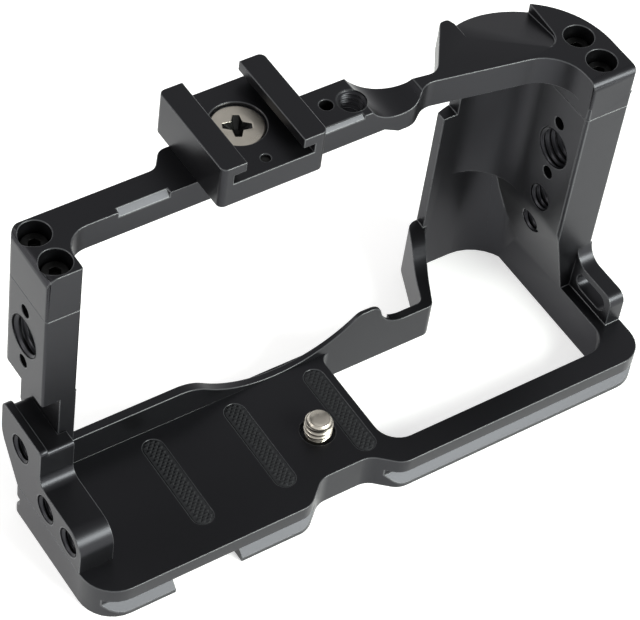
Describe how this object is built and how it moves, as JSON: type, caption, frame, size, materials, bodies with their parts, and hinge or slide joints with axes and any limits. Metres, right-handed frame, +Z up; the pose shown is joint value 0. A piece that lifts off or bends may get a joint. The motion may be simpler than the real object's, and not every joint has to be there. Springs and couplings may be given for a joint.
{
  "type": "camera cage",
  "caption": "Black anodised aluminium camera cage with a cold shoe, side bracket, grip wall, battery-door opening and captive camera screw.",
  "frame": {"origin": "axis of the captive camera screw at the floor that the camera stands on", "axes": "+Z up along the camera screw, +X towards the grip wall, +Y towards the lens"},
  "size_m": [0.1412, 0.0554, 0.0879],
  "materials": {
    "anodised": "satin black anodised",
    "screw_steel": "blackened",
    "bright_screw_steel": "satin nickel plated",
    "nylon": "matt",
    "rubber": "diamond textured"
  },
  "bodies": {
    "frame": {"base_frame": "anodised", "top_bar": "anodised", "cold_shoe": "anodised", "side_bracket": "anodised", "shoe_screw": "bright_screw_steel", "shoe_stop_pin": "screw_steel", "bracket_front_screw": "screw_steel", "bracket_rear_screw": "screw_steel", "left_front_screw": "screw_steel", "left_rear_screw": "screw_steel", "right_front_screw": "screw_steel", "right_rear_screw": "screw_steel", "left_pad": "rubber", "middle_pad": "rubber", "right_pad": "rubber"},
    "carriage": {"screw_washer": "nylon"},
    "screw": {"camera_screw": "bright_screw_steel"}
  },
  "joints": [
    {"name": "screw_slide", "type": "slide", "parent": "frame", "child": "carriage", "axis": [0, 0, 1], "range_m": [0, 0.0014]},
    {"name": "screw_spin", "type": "hinge", "parent": "carriage", "child": "screw", "pos_m": [0, 0, 0], "axis": [0, 0, 1], "continuous": true}
  ]
}
